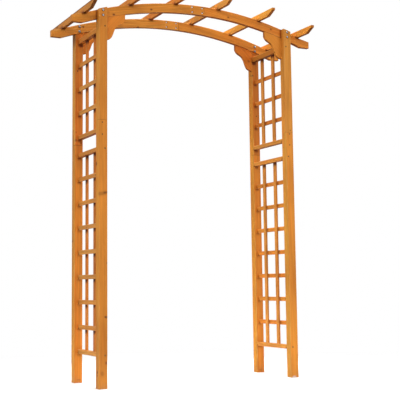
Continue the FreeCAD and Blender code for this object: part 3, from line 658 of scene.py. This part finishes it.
# each half of a beam is sawn from a straight board, so the grain runs with its chord
BEAM_SLOPE = math.atan2(2.095 - 1.962, 0.750)
BEAM_KNOTS = {
    "beam_front_left": ((-0.511, 2.0120), (-0.286, 2.0665)),
    "beam_front_right": ((0.204, 2.0780), (0.491, 2.0375)),
    "beam_rear_left": ((-0.561, 2.0240), (-0.218, 2.0595)),
    "beam_rear_right": (),
}
BEAM_TONE = {"beam_front_left": "amber", "beam_front_right": "copper", "beam_rear_left": "honey", "beam_rear_right": "amber"}
BEAM_SHADE = {"beam_front_left": 1.06, "beam_front_right": 1.16, "beam_rear_left": 1.07, "beam_rear_right": 1.16}
for end, sy in ENDS:
    for side, sx in SIDES:
        node = "beam_%s_%s" % (end, side)
        cy = 0.176 * sy
        axes = slope_grain(-sx * BEAM_SLOPE)
        centre = Vector((0.375 * sx, cy, 2.040))
        knots = []
        for x, z in BEAM_KNOTS[node]:
            at = axes @ (Vector((x, cy, z)) - centre)
            knots.append((at[0], at[1], at[2], (1, 0.1, 0.1), 0.0044, 0.90 if side == "left" else 0.60))
        dress(node, wood(node, pick.randrange(10000), centre, axes, BEAM_TONE[node],
                         far_pith(0.040, 0.110), pick.uniform(0.0026, 0.0040), knots,
                         arc_edges(cy, 0.013), beam_seams(cy), shade=BEAM_SHADE[node],
                         faces=(((0, 0, -1), UNDERSIDE_SHADE),), shadows=beam_corners(cy),
                         seam_dark=0.25 if end == "front" else 0.72, end_span=(0.75, 1.60)))

for name, x, tone, strength, light_and_stain_drift, left in RAFTERS:
    node = "rafter_" + name
    low = ARC_CENTRE + math.sqrt(ARC_TOP_R ** 2 - x * x) - 0.004
    k = (0.010, pick.uniform(-0.012, 0.012), pick.uniform(-0.28, 0.28), (0.2, 1, 0.1), pick.uniform(0.003, 0.005))
    dress(node, wood(node, pick.randrange(10000), (x, 0.0, low + 0.019), Y_GRAIN, tone,
                     far_pith(0.030, 0.090), pick.uniform(0.0022, 0.0036), (k,),
                     box_edges(x, low + 0.019, 0.010, 0.019, 0, 2), shade=strength, light_and_stain_drift=light_and_stain_drift,
                     faces=(((0, 0, -1), UNDERSIDE_SHADE), ((-1, 0, 0), left)), contrast=0.5 if name in ("mid_right", "far_right") else 0.85,
                     shadows=rafter_corners(low, x - 0.010 if name == "far_left" else None)))

BRACKET_TONES = {"front_left": "copper", "front_right": "amber", "rear_left": "russet", "rear_right": "russet"}
BRACKET_SHADE = {"front_left": 1.04, "front_right": 1.05, "rear_left": 0.89, "rear_right": 1.02}
for end, sy in ENDS:
    for side, sx in SIDES:
        node = "bracket_%s_%s" % (end, side)
        axes = slope_grain(-sx * math.radians(47.0))
        centre = Vector((0.510 * sx, 0.179 * sy, 1.945))
        knots = []
        if node == "bracket_rear_right":
            at = axes @ (Vector((0.5388, 0.179, 1.9245)) - centre)
            knots = [(at[0], at[1], at[2], (1, 0.1, 0), 0.0060, 0.38)]
        # painted shade on the bracket's underside and, a little, on its front face
        dress(node, wood(node, pick.randrange(10000), centre, axes, BRACKET_TONES["%s_%s" % (end, side)],
                         far_pith(0.040, 0.110), pick.uniform(0.0026, 0.0040), knots,
                         contrast=0.4 if end == "front" else 0.8,
                         shade=BRACKET_SHADE["%s_%s" % (end, side)],
                         faces=(((0, 0, -1), UNDERSIDE_SHADE), ((0, -1, 0), (1.0, 0.96, 0.93)))))

RAIL_Z = (("bottom", 0.1723, 0.01175), ("mid_lower", 1.2695, 0.01175),
          ("mid_upper", 1.373, 0.01175), ("top", 1.93375, 0.0155))
RAIL_SHADE = {"left": {"bottom": 0.97, "mid_lower": 1.14, "mid_upper": 0.97, "top": 1.34},
              "right": {"bottom": 1.09, "mid_lower": 1.12, "mid_upper": 1.01, "top": 0.79}}
RAIL_TONES = {"rail_right_mid_lower": "honey", "rail_left_top": "amber"}
# painted light on the left side's outer faces, painted shade on the undersides
LATTICE_PAINTED_SIDES = {"left": (((-1, 0, 0), (1.0, 1.07, 1.35)), ((0, 0, -1), UNDERSIDE_SHADE)),
                 "right": (((0, 0, -1), UNDERSIDE_SHADE),)}
SLAT_SHADE = {"left": {"lower": (0.97, 0.95, 0.92, 0.98, 1.02, 1.04, 1.06), "upper": (1.12, 1.14, 1.16)},
              "right": {"lower": (1.18, 1.10, 1.08, 1.12, 1.26, 1.05, 0.97), "upper": (0.90, 0.92, 0.96)}}
for side, sx in SIDES:
    for name, z, half in RAIL_Z:
        node = "rail_%s_%s" % (side, name)
        cx = 0.5745 * sx
        dress(node, wood(node, pick.randrange(10000), (cx, 0.0, z), Y_GRAIN,
                         RAIL_TONES.get(node, pick.choice(("honey", "honey", "amber"))),
                         far_pith(0.020, 0.070), pick.uniform(0.0020, 0.0034), (),
                         box_edges(cx, z, 0.0135, half, 0, 2), shade=RAIL_SHADE[side][name],
                         faces=LATTICE_PAINTED_SIDES[side], shadows=end_corners(z, half)))
    cx = 0.58275 * sx
    for section, z0, pitch, count in (("lower", 0.170, 0.13725, 7), ("upper", 1.372, 0.13925, 3)):
        for n in range(1, count + 1):
            node = "cross_slat_%s_%s_%d" % (side, section, n)
            z = z0 + pitch * n
            knots = ()
            if pick.random() < 0.4:
                knots = ((pick.uniform(-0.006, 0.006), 0.0, pick.uniform(-0.15, 0.15), (0, 1, 0.2), pick.uniform(0.002, 0.0034)),)
                knots = tuple((kv, ku, kg, (0.2, 1, 0.1), size) for ku, kv, kg, way, size in knots)
            tone = pick.choice(("honey", "amber") if side == "left" else ("copper", "copper", "amber"))
            if side == "right" and section == "upper":
                tone = "russet"
            dress(node, wood(node, pick.randrange(10000), (cx, 0.0, z), Y_GRAIN, tone,
                             far_pith(0.020, 0.080), pick.uniform(0.0020, 0.0034), knots,
                             box_edges(cx, z, 0.00375, 0.01225, 0, 2), shade=SLAT_SHADE[side][section][n - 1],
                             faces=LATTICE_PAINTED_SIDES[side],
                             shadows=end_corners(z, 0.01225, 0.42 if side == "right" else 0.0)))
    for section in ("lower", "upper"):
        node = "upright_slats_%s_%s" % (side, section)
        cx = 0.57375 * sx
        # painted shadow under cross slats and rails in a deep brown; painted shade on the right uprights' front faces
        dress(node, wood(node, pick.randrange(10000), (cx, 0.0, 0.0), Z_GRAIN,
                         "russet" if side == "left" else "honey",
                         far_pith(0.020, 0.080), pick.uniform(0.0020, 0.0034), (),
                         local_edges(0.00525, 0.0135), mirror_y=0.063, shadows=upright_corners, painted_shade_tint=(0.13, 0.06, 0.04),
                         faces=(((0, -1, 0), (0.84, 0.72, 0.62)),) if side == "right" else ()))

# ---- metal --------------------------------------------------------------
def metal(name, bright, dull, rough, tarnish):
    """Plated steel: fine turning marks, dull patches and a little tarnish."""
    g = Graph(name)
    coords = g.node("ShaderNodeTexCoord")
    place = coords.outputs["Object"]
    cloud = g.noise(place, (160.0, 160.0, 160.0), 4.0, 0.6)
    fine = g.noise(place, (1900.0, 1900.0, 1900.0), 3.0, 0.6)
    spots = g.noise(place, (520.0, 520.0, 520.0), 3.0, 0.65)
    colour = g.mix(g.span(cloud, 0.34, 0.70), bright, dull)
    colour = g.mix(g.span(spots, 0.58, 0.74, 0.0, 0.6), colour, tarnish)
    r = g.math("MULTIPLY_ADD", fine, 0.18, rough - 0.09)
    r = g.math("MULTIPLY_ADD", g.span(spots, 0.56, 0.74), 0.20, r)
    bump = g.node("ShaderNodeBump")
    bump.inputs["Strength"].default_value = 0.25
    bump.inputs["Distance"].default_value = 0.0001
    g.put(bump.inputs["Height"], fine)
    return g.shader(colour, r, bump.outputs[0], Metallic=1.0)


ZINC = metal("zinc_steel", (0.54, 0.545, 0.56), (0.34, 0.345, 0.36), 0.34, (0.15, 0.14, 0.13))
DULL = metal("dull_zinc", (0.30, 0.30, 0.31), (0.18, 0.18, 0.19), 0.36, (0.07, 0.06, 0.05))
BRIGHT = metal("new_zinc", (0.90, 0.90, 0.90), (0.72, 0.72, 0.72), 0.42, (0.40, 0.38, 0.36))
BRONZED = metal("yellow_zinc", (0.20, 0.115, 0.050), (0.13, 0.072, 0.032), 0.58, (0.07, 0.035, 0.016))
for node in ("post_beam_bolts", "lattice_brads"):
    dress(node, ZINC)
dress("post_beam_nuts", DULL)
dress("beam_splice_screws", BRIGHT)
for node in ("long_wood_screws", "short_wood_screws"):
    dress(node, BRONZED)

# ---- floor --------------------------------------------------------------
# A pale disc under the arch that fades out into the white backdrop.
FLOOR_R, FADE_FROM = 2.3, 0.9
floor_mesh = bpy.data.meshes.new("floor")
rim = [(FLOOR_R * math.cos(math.radians(i * 3)), FLOOR_R * math.sin(math.radians(i * 3)), 0.0) for i in range(120)]
floor_mesh.from_pydata(rim, [], [list(range(120))])
floor = bpy.data.objects.new("floor", floor_mesh)
bpy.context.scene.collection.objects.link(floor)
fl = Graph("pale_floor")
at = fl.node("ShaderNodeTexCoord").outputs["Object"]
tint = fl.mix(fl.noise(at, (3.0, 3.0, 3.0), 4.0), (0.91, 0.91, 0.905), (0.94, 0.94, 0.935))
fl.shader(tint, 0.9, Specular_IOR_Level=0.0)
surface = next(n for n in fl.tree.nodes if n.type == "BSDF_PRINCIPLED")
fl.put(surface.inputs["Alpha"], fl.span(fl.vec("LENGTH", at), FLOOR_R - 0.02, FADE_FROM))
floor_mesh.materials.append(fl.mat)
